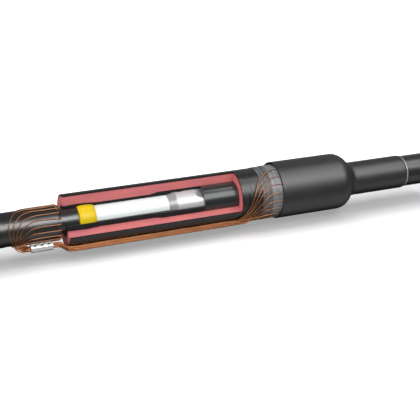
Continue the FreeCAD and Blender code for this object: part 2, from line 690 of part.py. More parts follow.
def left_wire(away, rank, side):
    """Out of the cable, round the jacket's edge, back along it and round into the bundle."""
    on_jacket = value("wire_on_jacket")
    angle = bundle_angle + side * away
    hook_x = -jacket_cut + wire_radius + value("wire_clearance")
    hook = value("hook_reach")
    turn_start = hook_x + HOOK_ROUNDING * hook
    route = [
        on_joint(-tail, wire_ring, angle),
        on_joint(turn_start, wire_ring, angle),
        on_joint(hook_x + hook, wire_ring + hook, angle),
        on_joint(hook_x + hook, on_jacket - hook, angle),
        on_joint(turn_start, on_jacket, angle),
    ]
    arc = math.radians(away) * on_jacket
    lead = 0.5 * value("loop_step") * (side < 0)
    bow = value("loop_bow") * math.sin(math.radians(away / 2)) ** 4 if side > 0 else 0.0
    far = ferrule_end - value("loop_gap") - value("loop_step") * rank - lead - bow
    joined = join - value("loop_step") * rank - lead
    last = math.radians(value("loop_last_angle")) * on_jacket
    longest = math.radians(value("loop_step_angle")) * on_jacket
    if arc < 2 * last:
        halfway = Vector(ferrule_end - 2 * wire_radius, arc / 2, 0)
        flat = [Vector(ferrule_end + wire_radius, arc, 0), halfway]
    else:
        sweep = value("loop_sweep") + value("loop_sweep_growth") * arc
        drop = min(value("loop_drop") + value("loop_drop_growth") * arc, arc)
        top = arc - drop
        steps = max(3, math.ceil(math.pi / 2 * drop / longest))
        flat = quarter_turn(Vector(far + sweep, arc, 0), Vector(far, top, 0), steps)
        flat = [point for point in flat if point.y > last]
        steps = math.ceil(max(top - last, 0) / longest)
        for index in range(1, steps + 1):
            share = index / steps
            around = top - share * (top - last)
            flat.append(Vector(far + share ** 2 * (joined - far) * (1 - last / top), around, 0))
    half_step = math.radians(value("loop_step_angle")) / 2
    route += laid_on(flat, on_jacket / math.cos(half_step) + value("loop_lift"), side)
    route.append(on_joint(joined, ferrule_height - INTO_BUNDLE * bundle_radius, bundle_angle))
    return trim(bent_rod(route, wire_radius, WIRE_SIDES), left_bundle)


def right_wire(away, rank, side):
    """Out of the cable, up the body's end, along the wrap and across into the bundle."""
    on_wrap = value("wire_on_wrap")
    angle = bundle_angle + side * away
    spacing = value("fan_spacing") if side > 0 else value("fan_back_spacing")
    spread = value("fan_first_angle") + rank * spacing
    spread_angle = bundle_angle + side * spread
    rise = body_end + value("jacket_gap") / 2
    route = [
        on_joint(tail, wire_ring, angle),
        on_joint(rise, wire_ring, angle),
        on_joint(rise, value("body_radius") - 2 * wire_radius, spread_angle),
        on_joint(body_end + wire_radius, value("body_radius") + OVER_EDGE * wire_radius, spread_angle),
        on_joint(value("wrap_end"), on_wrap, spread_angle),
    ]
    arc = math.radians(spread) * on_wrap
    nearness = 1 - rank / (value("wire_count") / 2 - 1)
    lead = value("fan_step") * (value("wire_count") / 2 - 1) * nearness
    leave = Vector(fan_start + lead + value("fan_trail") * max(nearness, 0) ** 5, 0, 0)
    corner = Vector(value("fan_corner") - value("fan_lean") * arc, arc, 0)
    reach = min(value("fan_bend") + value("fan_bend_growth") * arc, BEND_LIMIT * (corner - leave).Length)
    flat = rounded_corner(Vector(value("wrap_end"), arc, 0), corner, leave, reach, BEND_STEPS)
    steps = math.ceil((flat[-1] - leave).Length / value("fan_longest_step"))
    last_bend = flat[-1]
    for index in range(1, steps + 1):
        flat.append(last_bend + (leave - last_bend) * (index / steps))
    route += laid_on(flat[:1], on_wrap, side) + laid_on(flat[1:], on_wrap + value("fan_lift"), side)
    return trim(bent_rod(route, wire_radius, WIRE_SIDES), right_bundle)


for side, maker in (("left", left_wire), ("right", right_wire)):
    ways = wire_places(value(side + "_front_span"))
    wires = [maker(*way) for way in ways]
    nodes.append(feature(side + "_screen_wires", Part.makeCompound(wires)))
doc.recompute()

# Every object must have been built, and every node must be a sound shape

for item in doc.Objects:
    if "Invalid" in item.State or "Error" in item.State:
        raise RuntimeError("%s could not be built: %s" % (item.Name, item.State))
os.makedirs("parts", exist_ok=True)
for node in nodes:
    if node.Shape.isNull() or not node.Shape.isValid() or not node.Shape.Solids:
        raise RuntimeError(node.Label + " is not a valid solid")
for node in nodes:
    node.Shape.exportStep("parts/%s.step" % node.Label)
    print(node.Label, len(node.Shape.Solids), "solids", round(node.Shape.Volume, 1), "mm3")
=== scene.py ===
import math
import random
from functools import partial

import bmesh
import bpy
from bpy.props import FloatProperty, FloatVectorProperty, IntProperty, PointerProperty
from mathutils import Matrix, Quaternion, Vector


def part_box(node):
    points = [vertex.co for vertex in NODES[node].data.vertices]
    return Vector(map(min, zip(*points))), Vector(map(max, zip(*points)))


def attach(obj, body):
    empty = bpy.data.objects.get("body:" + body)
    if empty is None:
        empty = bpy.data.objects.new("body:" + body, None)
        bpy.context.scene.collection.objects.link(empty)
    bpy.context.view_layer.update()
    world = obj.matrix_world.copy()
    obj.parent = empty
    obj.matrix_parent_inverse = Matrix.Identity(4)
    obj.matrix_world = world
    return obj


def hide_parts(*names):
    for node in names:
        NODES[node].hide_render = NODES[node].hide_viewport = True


bl_info = {
    "name": "Cut-open cable joint",
    "version": (1, 0, 0),
    "blender": (4, 5, 0),
    "location": "3D Viewport > Sidebar > Cable joint",
    "description": "Finishes, screen wires and studio for a power cable joint with a cut-out",
    "category": "Object",
}

# The cable runs along X, Z is up and the front is the -Y side. Angles run round the axis
# from the front, upward, in degrees. Lengths are in millimetres, and on the stage in metres.

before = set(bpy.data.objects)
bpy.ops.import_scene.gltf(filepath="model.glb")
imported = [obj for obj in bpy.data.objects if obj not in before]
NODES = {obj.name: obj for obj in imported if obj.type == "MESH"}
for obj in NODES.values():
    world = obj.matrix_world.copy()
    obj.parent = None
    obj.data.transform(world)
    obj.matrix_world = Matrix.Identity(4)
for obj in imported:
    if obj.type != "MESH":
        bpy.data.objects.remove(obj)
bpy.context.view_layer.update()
MM = 0.001
ROUGHENED = 0.3  # how deep the jacket is roughened under the wires
GAP = 0.05  # between a wire and what it lies on


def reach_of(node, axis=2):
    """How far a node reaches from the joint's centre along one axis, in millimetres."""
    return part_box(node)[1][axis] / MM


# distances from the axis
JACKET_SEAT = reach_of("left_jacket") - ROUGHENED
BODY = reach_of("body_screen")
RED_BODY = -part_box("insulating_body")[0][2] / MM
WRAP = reach_of("shield_wrap")
CORE = reach_of("right_insulation_screen")
INSULATION = reach_of("left_insulation")

# places along the cable
TAIL = reach_of("right_jacket", 0)
JACKET_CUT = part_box("right_jacket")[0][0] / MM
BODY_END = reach_of("body_screen", 0)
WRAP_END = reach_of("shield_wrap", 0)
MASTIC_EDGE = 144.5  # where the painted shade on the mastic's outer edge begins, left and right
SECOND_TURN = 68.0  # where the wrap's second turn begins
TUBE_WINDOW_END = -7.8  # where the cut-out of the stress control tube ends
BARREL_SHADE_START = 37.0  # where the painted shade on the barrel's ends begins, left and right
FERRULE_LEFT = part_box("crimp_ferrule")[0][0] / MM
FERRULE_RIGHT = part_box("crimp_ferrule")[1][0] / MM
FERRULE_MIDDLE = (FERRULE_LEFT + FERRULE_RIGHT) / 2


# Sizes, finishes and studio settings


class JointSizes(bpy.types.PropertyGroup):
    wire_diameter: FloatProperty(
        name="Screen wire", description="Diameter of one screen wire in millimetres",
        default=1.3, min=0.5, max=2.5)
    wire_sides: IntProperty(
        name="Wire sides", description="Faces round one wire", default=9, min=5, max=24)
    bundle_angle: FloatProperty(
        name="Bundle angle", description="Place of the bundle round the joint, in degrees",
        default=-46.5, min=-90, max=0)
    bundle_height: FloatProperty(
        name="Bundle height", description="Bundle's middle above the joint's axis in millimetres",
        default=31.35, min=29, max=36)
    bundle_lay: FloatProperty(
        name="Lay", description="Length of one turn of the bundled wires in millimetres",
        default=420, min=60, max=600)
    ferrule_height: FloatProperty(
        name="Ferrule height", description="Ferrule's middle above the joint's axis in millimetres",
        default=24.3, min=22, max=28)
    ferrule_radius: FloatProperty(
        name="Ferrule radius", description="Outside radius of the ferrule in millimetres",
        default=4.65, min=3.5, max=6)
    dent_depth: FloatProperty(
        name="Dent depth", description="Depth of a crimp dent in millimetres",
        default=0.5, min=0, max=1.2)
    skin_depth: FloatProperty(
        name="Skin depth", description="How far the black skin reaches into the red body in millimetres",
        default=1.0, min=0, max=4)


def colour(name, description, default):
    return FloatVectorProperty(
        name=name, description=description, subtype="COLOR", size=3, min=0, max=1, default=default)


class JointFinishes(bpy.types.PropertyGroup):
    jacket: colour("Jacket", "Black polyethylene of the cable jackets", (0.010, 0.0105, 0.011))
    sleeve: colour("Sleeve", "Black of the outer sleeve", (0.010, 0.0103, 0.0103))
    tube: colour("Stress tube", "Black of the stress control tube", (0.0145, 0.0175, 0.0175))
    skin: colour("Skin", "Black of the body's conductive skin", (0.009, 0.009, 0.0095))
    screen: colour("Cable screens", "Black of the conductive cable layers", (0.010, 0.010, 0.0105))
    insulation: colour("Insulation", "White cable insulation", (0.76, 0.80, 0.79))
    body: colour("Insulating body", "Red elastomer", (0.57, 0.155, 0.180))
    mastic: colour("Mastic", "Yellow stress control mastic", (0.71, 0.50, 0.002))
    connector: colour("Connector", "Bare metal of the connector", (0.71, 0.70, 0.72))
    bolt: colour("Bolts", "Darker metal of the sheared bolts", (0.47, 0.465, 0.47))
    ferrule: colour("Ferrule", "Tinned metal of the ferrule", (0.80, 0.795, 0.79))
    wrap: colour("Metal wrap", "Knitted metal wrap", (0.19, 0.19, 0.195))
    wire: colour("Screen wires", "Copper of the screen wires", (0.375, 0.190, 0.107))
    bundle: colour("Bundle", "Copper of the bundled wires", (0.445, 0.182, 0.075))
    strand: colour("Conductor", "Copper of the conductor's strands", (0.78, 0.40, 0.24))
    sealant: colour("Sealant", "Pale ring of sealant", (0.36, 0.36, 0.355))


class JointStage(bpy.types.PropertyGroup):
    floor_drop: FloatProperty(
        name="Floor", description="How far the floor lies below the joint's axis",
        default=0.0352, min=0.03, max=0.2, unit="LENGTH")
    key_power: FloatProperty(
        name="Key light", description="Large soft light in front and above",
        default=10.4, min=0, max=200, unit="POWER")
    strip_power: FloatProperty(
        name="Strip light", description="Smaller light that sharpens the gloss of the left cable",
        default=3.3, min=0, max=200, unit="POWER")
    side_power: FloatProperty(
        name="Side light", description="Smaller light that lifts the gloss of the right cable",
        default=2.8, min=0, max=200, unit="POWER")
    top_power: FloatProperty(
        name="Top light", description="Wide light overhead that lays the shadow under the joint",
        default=10, min=0, max=200, unit="POWER")
    fill_power: FloatProperty(
        name="Fill light", description="Soft light on the faces that look to the left",
        default=19, min=0, max=200, unit="POWER")
    sky: FloatProperty(
        name="Sky", description="Strength of the even light from all round", default=0.12, min=0, max=2)
    room_front: FloatProperty(
        name="Front of room", description="Brightness of the room behind the camera in reflections",
        default=0.045, min=0, max=1)
    room_back: FloatProperty(
        name="Back of room", description="Brightness of the room behind the joint in reflections",
        default=0.31, min=0, max=1)
    room_left: FloatProperty(
        name="Left of room", description="Share of that brightness that the left side of the room keeps",
        default=0.3, min=0, max=1)
    floor_mirrored: FloatProperty(
        name="Floor in reflections", description="Share of the floor's brightness in reflections",
        default=0.08, min=0, max=1)
    floor_front: FloatProperty(
        name="Front of floor",
        description="Brightness of the floor just in front of the joint in reflections",
        default=0.34, min=0, max=1)
    floor_glow: FloatProperty(
        name="Floor glow", description="Brightness that the floor keeps in shadow",
        default=0.34, min=0, max=1)


def sizes():
    return bpy.context.scene.joint_sizes


def finishes():
    return bpy.context.scene.joint_finishes


def stage_settings():
    return bpy.context.scene.joint_stage


# Shader trees written as expressions


class Term:
    """One output of a shader tree, with arithmetic."""

    def __init__(self, finish, socket):
        self.finish = finish
        self.socket = socket

    def math(self, operation, *others, clamp=False):
        values = dict(enumerate((self, *others)))
        return self.finish.node("ShaderNodeMath", {"operation": operation, "use_clamp": clamp}, values)

    def siblings(self, *names):
        """Other outputs of the same node."""
        return [Term(self.finish, self.socket.node.outputs[name]) for name in names]

    def __add__(self, other):
        return self.math("ADD", other)

    __radd__ = __add__

    def __sub__(self, other):
        return self.math("SUBTRACT", other)

    def __rsub__(self, other):
        return self.finish.node("ShaderNodeMath", {"operation": "SUBTRACT"}, {0: other, 1: self})

    def __mul__(self, other):
        return self.math("MULTIPLY", other)

    __rmul__ = __mul__

    def clamped(self):
        return self.math("ADD", 0.0, clamp=True)


class Finish:
    """A material or world whose shader tree grows node by node."""

    def __init__(self, name, owner=None):
        self.owner = owner or bpy.data.materials.new(name)
        self.owner.use_nodes = True
        self.tree = self.owner.node_tree
        self.tree.nodes.clear()

    def node(self, kind, settings=None, inputs=None, output=0):
        """Add a node: its settings first, then the values or links of its sockets."""
        made = self.tree.nodes.new(kind)
        for key, setting in (settings or {}).items():
            setattr(made, key, setting)
        for key, given in (inputs or {}).items():
            if isinstance(given, Term):
                self.tree.links.new(given.socket, made.inputs[key])
            else:
                made.inputs[key].default_value = given
        return Term(self, made.outputs[output]) if made.outputs else None

    def vector(self, operation, *values, output=0):
        """Vector maths. Output 1 is the one for lengths and distances."""
        return self.node("ShaderNodeVectorMath", {"operation": operation}, dict(enumerate(values)), output)

    def place(self):
        """Where a point of the surface is in the joint's frame."""
        return self.node("ShaderNodeTexCoord", output="Object")

    def parts(self, direction):
        """X, Y and Z of a place or direction."""
        return self.node("ShaderNodeSeparateXYZ", None, {0: direction}).siblings("X", "Y", "Z")

    def rays(self):
        """1 for a ray from the camera, from a reflection and through glass, and 0 for others."""
        path = self.node("ShaderNodeLightPath")
        return path.siblings("Is Camera Ray", "Is Glossy Ray", "Is Transmission Ray")

    def along(self):
        """The point's distance along the cable in millimetres."""
        return self.parts(self.place())[0] * 1000.0

    def off_axis(self):
        """The point's distance from the joint's axis in millimetres."""
        across = self.vector("MULTIPLY", self.place(), (0, 1, 1))
        return self.vector("LENGTH", across, output=1) * 1000.0

    def noise(self, scale, stretch=(1, 1, 1), detail=3.0, roughness=0.55, shift=0.0):
        """Noise from 0 to 1 whose grain is stretched along the axes."""
        spot = self.vector("MULTIPLY_ADD", self.place(), stretch, (shift, shift, shift))
        return self.node("ShaderNodeTexNoise", None,
                         {"Vector": spot, "Scale": scale, "Detail": detail, "Roughness": roughness})

    def step(self, value, low, high):
        """Rise smoothly from 0 to 1 between two values."""
        return self.node("ShaderNodeMapRange", {"interpolation_type": "SMOOTHSTEP"},
                         {0: value, 1: low, 2: high, 3: 0.0, 4: 1.0})

    def blend(self, share, first, second, mode="MIX"):
        """Mix two colours."""
        def full(tint):
            return tint if isinstance(tint, Term) else (*tint[:3], 1.0)
        return self.node("ShaderNodeMix", {"data_type": "RGBA", "blend_type": mode},
                         {0: share, 6: full(first), 7: full(second)}, output=2)

    def bump(self, height, distance):
        """Tilt the surface by a height pattern, distance in millimetres."""
        return self.node("ShaderNodeBump", None,
                         {"Strength": 1.0, "Distance": distance * MM, "Height": height})

    def surface(self, **values):
        """End the tree in one principled surface."""
        inputs = {key.replace("_", " "): given for key, given in values.items()}
        shader = self.node("ShaderNodeBsdfPrincipled", None, inputs)
        self.node("ShaderNodeOutputMaterial", None, {0: shader})
        return self.owner


def scaled(tint, red, green=None, blue=None):
    """A colour made darker or brighter, each channel by its own share where three are given."""
    shares = (red, red, red) if green is None else (red, green, blue)
    return tuple(min(channel * share, 1.0) for channel, share in zip(tint, shares))


# Finishes


def black_polymer(name, tint, gloss, grain_round=0.0, grain_along=0.0, specular=0.95, mottle=0.25,
                  grain=1500, polished_from=None):
    """Satin black plastic or rubber, with grain round or along it, and polished to the right of a place."""
    finish = Finish(name)
    cloud = finish.noise(38.0, (0.6, 1, 1), detail=4.0)
    fine = finish.noise(900.0, detail=2.0, shift=3.1)
    lines_round = finish.noise(1.0, (grain, 16, 16), detail=3.0)
    lines_along = finish.noise(1.0, (9, 900, 900), detail=3.0, shift=1.7)
    lines = (lines_round - 0.5) * grain_round + (lines_along - 0.5) * grain_along
    shade = (cloud - 0.5) * mottle + lines * 0.8 + 0.5
    base = finish.blend(shade.clamped(), scaled(tint, 0.70), scaled(tint, 1.35))
    rough = (cloud - 0.5) * 0.10 + (fine - 0.5) * 0.06 + lines * 0.22 + gloss
    relief = finish.bump(fine * 0.35 + lines, 0.030)
    polish = 0.0
    if polished_from is not None:
        polish = finish.step(finish.along(), polished_from - 0.5, polished_from + 0.5)
    return finish.surface(
        Base_Color=base, Roughness=rough, Specular_IOR_Level=specular, IOR=1.6, Normal=relief,
        Coat_Weight=polish, Coat_Roughness=gloss - 0.09, Coat_IOR=1.7)


def white_insulation(name, tint):
    """Milky cable insulation with faint marks of the peeling tool."""
    finish = Finish(name)
    rings = finish.noise(1.0, (700, 14, 14), detail=2.0)
    cloud = finish.noise(30.0, (0.5, 1, 1), detail=3.0)
    shade = ((rings - 0.5) * 0.30 + (cloud - 0.5) * 0.5 + 0.5).clamped()
    base = finish.blend(shade, scaled(tint, 0.95), scaled(tint, 1.04))
    relief = finish.bump(rings, 0.012)
    return finish.surface(
        Base_Color=base, Roughness=(rings - 0.5) * 0.08 + 0.34, Specular_IOR_Level=0.5, Normal=relief,
        Subsurface_Weight=0.08, Subsurface_Radius=(0.004, 0.004, 0.0035), Subsurface_Scale=0.5)


def yellow_mastic(name, tint):
    """Soft pressed mastic, with painted shade on its outer edge where it meets the screen."""
    finish = Finish(name)
    x = finish.along()
    soft = finish.noise(120.0, detail=4.0)
    wave = finish.noise(55.0, detail=2.0, shift=5.3)
    # painted shade: the mastic darkens to a near black brown at its outer edge, where it meets the screen
    edge = finish.step(x.math("ABSOLUTE") + (wave - 0.5) * 1.1, MASTIC_EDGE - 0.5, MASTIC_EDGE + 0.5)
    edge_shade = (0.10, 0.075, 0.02)
    base = finish.blend(((soft - 0.5) * 0.9 + 0.5).clamped(), scaled(tint, 0.84), scaled(tint, 1.10))
    base = finish.blend(edge * 0.85, base, edge_shade)
    relief = finish.bump(soft * 0.6 + wave, 0.16)
    return finish.surface(Base_Color=base, Roughness=(soft - 0.5) * 0.14 + 0.34, Specular_IOR_Level=0.3,
                          Normal=relief, Coat_Weight=0.06, Coat_Roughness=0.25)


def red_elastomer(name, tint):
    """Moulded red rubber with knife streaks on its cut faces and the skin's black at its rim."""
    finish = Finish(name)
    streaks = finish.noise(1.0, (26, 420, 420), detail=4.0, roughness=0.6)
    blotch = finish.noise(46.0, (0.7, 1, 1), detail=4.0, shift=2.2)
    fine = finish.noise(700.0, detail=2.0)
    shade = ((streaks - 0.5) * 0.9 + (blotch - 0.5) * 0.9 + 0.5).clamped()
    base = finish.blend(shade, scaled(tint, 0.84), scaled(tint, 1.15))
    warmth = ((blotch - 0.5) * 1.2 + (streaks - 0.5) * 1.6 + 0.5).clamped()
    rosy, warm, pale = (0.97, 0.96, 1.0), (1.0, 1.0, 0.72), (0.72, 0.27, 0.26)
    base = finish.blend(1.0, base, finish.blend(warmth, rosy, warm), mode="MULTIPLY")
    base = finish.blend(finish.step(streaks, 0.60, 0.78) * 0.35, base, pale)
    rim = RED_BODY - sizes().skin_depth
    edge = finish.off_axis() + (blotch - 0.5) * 0.25
    base = finish.blend(finish.step(edge, rim - 0.12, rim + 0.12), base, finishes().skin)
    relief = finish.bump(streaks + fine * 0.25, 0.07)
    return finish.surface(Base_Color=base, Roughness=(streaks - 0.5) * 0.16 + 0.50,
                          Specular_IOR_Level=0.4, Normal=relief)


def turned_metal(name, tint, gloss, rings=0.5, scratches=0.5, tarnish=0.0, metallic=1.0, shaded_beyond=None,
                 dents=()):
    """Turned metal with fine rings, scratches and dull patches, with painted shade on its ends and in its
    dents.
    """
    finish = Finish(name)
    groove = finish.noise(1.0, (2600, 9, 9), detail=2.0)
    scratch = finish.noise(1.0, (60, 1500, 1500), detail=3.0, shift=4.4)
    dull = finish.noise(80.0, detail=4.0, shift=1.3)
    shade = ((groove - 0.5) * 0.5 * rings + (dull - 0.5) * 0.8 + 0.5).clamped()
    base = finish.blend(shade, scaled(tint, 0.86 - tarnish), scaled(tint, 1.05))
    if shaded_beyond:
        # painted shade: beyond this place the colour darkens at both ends
        ends = finish.step(finish.along().math("ABSOLUTE"), shaded_beyond - 0.5, shaded_beyond + 0.5)
        ends = ends * ((groove - 0.5) * 1.4 + 0.8).clamped()
        base = finish.blend(ends, base, scaled(tint, 0.55))
    # painted shade in the dents: the colour darkens within about 2 mm of each dent's bottom
    for dent in dents:
        away = finish.vector("DISTANCE", finish.place(), dent, output=1) * 1000.0
        base = finish.blend((1 - finish.step(away, 0.9, 2.0)) * 0.8, base, scaled(tint, 0.22))
    mark = finish.step(scratch, 0.66, 0.74) * scratches
    rough = (dull - 0.5) * 0.16 + (groove - 0.5) * 0.10 * rings + mark * 0.12 + gloss
    relief = finish.bump(groove * rings - mark * 0.4, 0.018)
    return finish.surface(Base_Color=base, Metallic=metallic, Roughness=rough, Normal=relief)


def knitted_wrap(name, tint):
    """Flattened metal mesh: fine ribs round the body and a lighter second turn."""
    finish = Finish(name)
    x = finish.along()
    wander = finish.noise(60.0, detail=2.0)
    rib_pitch = 0.9
    ribs = ((x + wander * 0.5) * (2 * math.pi / rib_pitch)).math("SINE") * 0.5 + 0.5
    uneven = finish.noise(1.0, (520, 40, 40), detail=4.0, roughness=0.65)
    cross = finish.noise(1.0, (120, 700, 700), detail=2.0, shift=2.6)
    second = finish.step(x + (wander - 0.5) * 0.8, SECOND_TURN - 0.4, SECOND_TURN + 0.4)
    shade = ((uneven - 0.5) * 2.8 + (ribs - 0.5) * 0.45 + (cross - 0.5) * 0.6 + 0.5).clamped()
    first_turn = finish.blend(shade, scaled(tint, 0.42), scaled(tint, 1.30))
    second_turn = finish.blend(shade, scaled(tint, 0.85), scaled(tint, 1.85))
    base = finish.blend(second, first_turn, second_turn)
    relief = finish.bump(ribs * 0.6 + uneven * 0.8 + cross * 0.3, 0.16)
    return finish.surface(Base_Color=base, Metallic=0.45, Roughness=(uneven - 0.5) * 0.2 + 0.46,
                          Normal=relief)


def drawn_copper(name, tint, gloss, gathered_tint=None):
    """Drawn copper wire, redder where it is gathered, with a painted highlight where it fans out, and greyed
    by the wrap.
    """
    finish = Finish(name)
    patch = finish.noise(70.0, (0.5, 1, 1), detail=3.0)
    fine = finish.noise(600.0, (0.3, 1, 1), detail=2.0, shift=2.9)
    shade = ((patch - 0.5) * 1.3 + (fine - 0.5) * 0.5 + 0.5).clamped()
    base = finish.blend(shade, scaled(tint, 0.86, 0.74, 0.66), scaled(tint, 1.10))
    if gathered_tint:
        # from the wires that lie on the jacket, out to those in the ferrule and the bundle
        x = finish.along()
        off_jacket = finish.step(finish.off_axis(), 19.2, 23.5)
        bundled = finish.blend(shade, scaled(gathered_tint, 0.72), scaled(gathered_tint, 1.18))
        fan_highlight = finish.blend(shade, scaled(tint, 1.25, 1.05, 0.8), scaled(tint, 1.7, 1.4, 1.1))
        greyed = (0.28, 0.225, 0.20)
        base = finish.blend(off_jacket * (1 - finish.step(x, 22.0, 42.0)), base, bundled)
        # painted highlight: the wires are brighter where they fan out from the bundle
        base = finish.blend(off_jacket * finish.step(x, 24.0, 38.0), base, fan_highlight)
        base = finish.blend(finish.step(x, SECOND_TURN - 4.0, SECOND_TURN + 5.0) * 0.75, base, greyed)
    relief = finish.bump(fine, 0.012)
    return finish.surface(Base_Color=base, Metallic=0.85, Roughness=(patch - 0.5) * 0.14 + gloss,
                          Normal=relief)


def pale_sealant(name, tint):
    """A squeezed ring of pale sealant."""
    finish = Finish(name)
    soft = finish.noise(260.0, detail=3.0)
    base = finish.blend(((soft - 0.5) * 0.8 + 0.5).clamped(), scaled(tint, 0.88), scaled(tint, 1.06))
    return finish.surface(
        Base_Color=base, Roughness=(soft - 0.5) * 0.2 + 0.30, Specular_IOR_Level=1.0,
        Normal=finish.bump(soft, 0.1), Coat_Weight=1.0, Coat_Roughness=0.30, Coat_IOR=2.0)


def dress(node, material):
    """Give a solid of the frame its finish."""
    solid = NODES[node]
    solid.data.materials.clear()
    solid.data.materials.append(material)
    for face in solid.data.polygons:
        face.material_index = 0


# Ways of making pieces


def eased(share):
    """A share held between 0 and 1, with a smooth start and end."""
    share = min(max(share, 0.0), 1.0)
    return share * share * (3 - 2 * share)


def on_joint(x, angle, radius):
    """The point at a place along the axis, an angle and a distance from the axis."""
    turn = math.radians(angle)
    return Vector((x, -radius * math.cos(turn), radius * math.sin(turn))) * MM


def add_object(name, data):
    made = bpy.data.objects.new(name, data)
    bpy.context.scene.collection.objects.link(made)
    return made


def add_mesh(name, mesh, material):
    """Turn a bmesh into an object with one material."""
    data = bpy.data.meshes.new(name)
    mesh.to_mesh(data)
    mesh.free()
    data.materials.append(material)
    return add_object(name, data)


def smooth_line(route, fineness):
    """Points along the NURBS curve of a route given as (x, angle, radius) places."""
    curve = bpy.data.curves.new("route", "CURVE")
    curve.dimensions = "3D"
    spline = curve.splines.new("NURBS")
    spline.points.add(len(route) - 1)
    for point, place in zip(spline.points, route):
        point.co = (*place, 1.0)
    spline.order_u = 3
    spline.use_endpoint_u = True
    spline.resolution_u = fineness
    carrier = add_object("route", curve)
    bpy.context.view_layer.update()
    evaluated = carrier.evaluated_get(bpy.context.evaluated_depsgraph_get())
    mesh = bpy.data.meshes.new_from_object(evaluated)
    places = [vertex.co.copy() for vertex in mesh.vertices]
    bpy.data.objects.remove(carrier)
    bpy.data.curves.remove(curve)
    bpy.data.meshes.remove(mesh)
    return [on_joint(*place) for place in places]


def join_rings(mesh, rings):
    """Smooth faces between rings of points, each with the next one."""
    for first, second in zip(rings, rings[1:]):
        for index in range(len(first)):
            onward = (index + 1) % len(first)
            face = mesh.faces.new((first[index], first[onward], second[onward], second[index]))
            face.smooth = True


def add_tube(mesh, line, radius, sides):
    """Sweep a circle along a line of points without twisting it, and close its ends."""
    ahead = (line[1] - line[0]).normalized()
    across = ahead.orthogonal().normalized()
    rings = []
    last = len(line) - 1
    for index, point in enumerate(line):
        before = line[max(index - 1, 0)]
        after = line[min(index + 1, last)]
        heading = (after - before).normalized()
        across = (across - heading * across.dot(heading)).normalized()
        upward = heading.cross(across)
        ring = []
        for side in range(sides):
            turn = 2 * math.pi * side / sides
            arm = across * math.cos(turn) + upward * math.sin(turn)
            ring.append(mesh.verts.new(point + arm * radius))
        rings.append(ring)
    join_rings(mesh, rings)
    mesh.faces.new(rings[0][::-1])
    mesh.faces.new(rings[-1])


def new_piece(name, mesh, material, stands_for):
    """Turn a bmesh into a piece that rides on the joint and stands for a solid."""
    bmesh.ops.recalc_face_normals(mesh, faces=mesh.faces)
    piece = add_mesh(name, mesh, material)
    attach(piece, "root")
    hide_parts(stands_for)


# Routes of the screen wires, as (x, angle) places. A wire's side is 1 at the front and -1 at the
# back, its rank counts from the bundle, and its ring is its distance from the axis in the cable.

FIRST_WIRE = 14.0  # angle of one wire in the cable
WIRE_COUNT = 18
TWIST_START = 22.0  # the bundle is twisted to the left of this place
CLIMB = -165.0  # where the bundle climbs from the ferrule on to the body

# on the left jacket, from the wire nearest the bundle to the farthest at the front
LEFT_FRONT = [
    [(-176, -46), (-190, -46), (-200.5, -46.5)],
    [(-178, -25), (-195, -25), (-201.5, -30), (-203.8, -38)],
    [(-178, -5.5), (-194, -5), (-201, -12), (-205, -27)],
    [(-180, 15.5), (-193, 14.5), (-201, 3), (-205.2, -10), (-207.2, -26)],
    [(-180, 36.5), (-191, 38), (-200, 27), (-205, 14), (-208, -3), (-209.4, -24)],
    [(-178, 54), (-192, 54.5), (-202.5, 44.5), (-207, 30), (-209.5, 12), (-211.5, -6), (-211.5, -26)],
    [(-178, 73), (-194, 76), (-204.5, 64), (-210.5, 43), (-214.3, 22), (-214.9, 2), (-213.7, -20)],
    [(-178, 91), (-196, 93.5), (-207, 85), (-213, 64), (-217, 42), (-219, 20), (-218.2, 0), (-216.4, -22)],
]

# where each front wire leaves the left jacket for the ferrule, in the same order
LEFT_LEAVING = (-204.4, -205.0, -206.3, -208.0, -209.6, -211.4, -213.1, -215.3)

# from the sleeve's rim to the bundle, from the nearest wire to the farthest at the front
RIGHT_FRONT = [
    [(84, -38.6), (72, -37.2), (63, -39.0), (55, -44.2)],
    [(84, -19.3), (70, -18.6), (61, -22.0), (53.5, -31.5), (47, -41)],
    [(84, -2.6), (69, -1.4), (62, -6.6), (54.5, -17.5), (46, -32), (41, -40)],
    [(84, 15.2), (69, 14.8), (61.5, 10), (53.5, -5.5), (46, -22), (40, -34), (35, -41)],
    [(84, 33.0), (72, 34.6), (63.5, 29.8), (55, 16.5), (48.7, -1.5), (42.5, -19), (36, -34), (31, -42)],
    [(84, 52.2), (72, 51.6), (64, 45.6), (56, 32.5), (49.5, 13.5), (43, -11), (37, -30), (30.5, -42)],
    [(84, 73.2), (75, 73), (66.5, 65.5), (57.5, 54), (50.2, 36.5), (45.5, 14), (40.2, -10.5), (34, -30),
     (28, -41.5)],
]

# how the bundled wires lie in the bundle, as (distance from its middle, turn from outside)
RIGHT_FRONT_SLOTS = [(2.33, turn) for turn in (164, 131, 98, 65, 33, 0)] + [(1.2, 90)]
RIGHT_BACK_SLOTS = [(2.33, turn) for turn in (-164, -131, -98, -65, -33)] + [
    (1.2, 30), (1.2, -30), (1.2, -90), (1.2, -150), (1.2, 150), (0, 0)]
LEFT_FRONT_SLOTS = [(1.2, 160), (2.33, 134), (1.2, 100), (2.33, 83), (1.2, 45), (2.33, 31), (1.2, -15),
                    (2.33, -20)]
LEFT_BACK_SLOTS = [(2.33, turn) for turn in (-160, -128, -98, -70, -45)] + [
    (1.2, -160), (1.2, -105), (0.2, 0), (1.2, -60), (0.5, 180)]


def wire_angles(front_count):
    """Angles of the wires in the cable, nearest the bundle first, at the front and at the back."""
    bundle = sizes().bundle_angle
    away = sorted((FIRST_WIRE + index * 360 / WIRE_COUNT - bundle) % 360 for index in range(WIRE_COUNT))
    front = [bundle + turn for turn in away[:front_count]]
    back = [bundle + turn - 360 for turn in away[front_count:]][::-1]
    return front, back


def bundle_middle(x):
    """Height of the bundle's middle at a place along the joint."""
    low, high = sizes().ferrule_height, sizes().bundle_height
    return low + (high - low) * eased((x + BODY_END + 9.0) / 8.0)


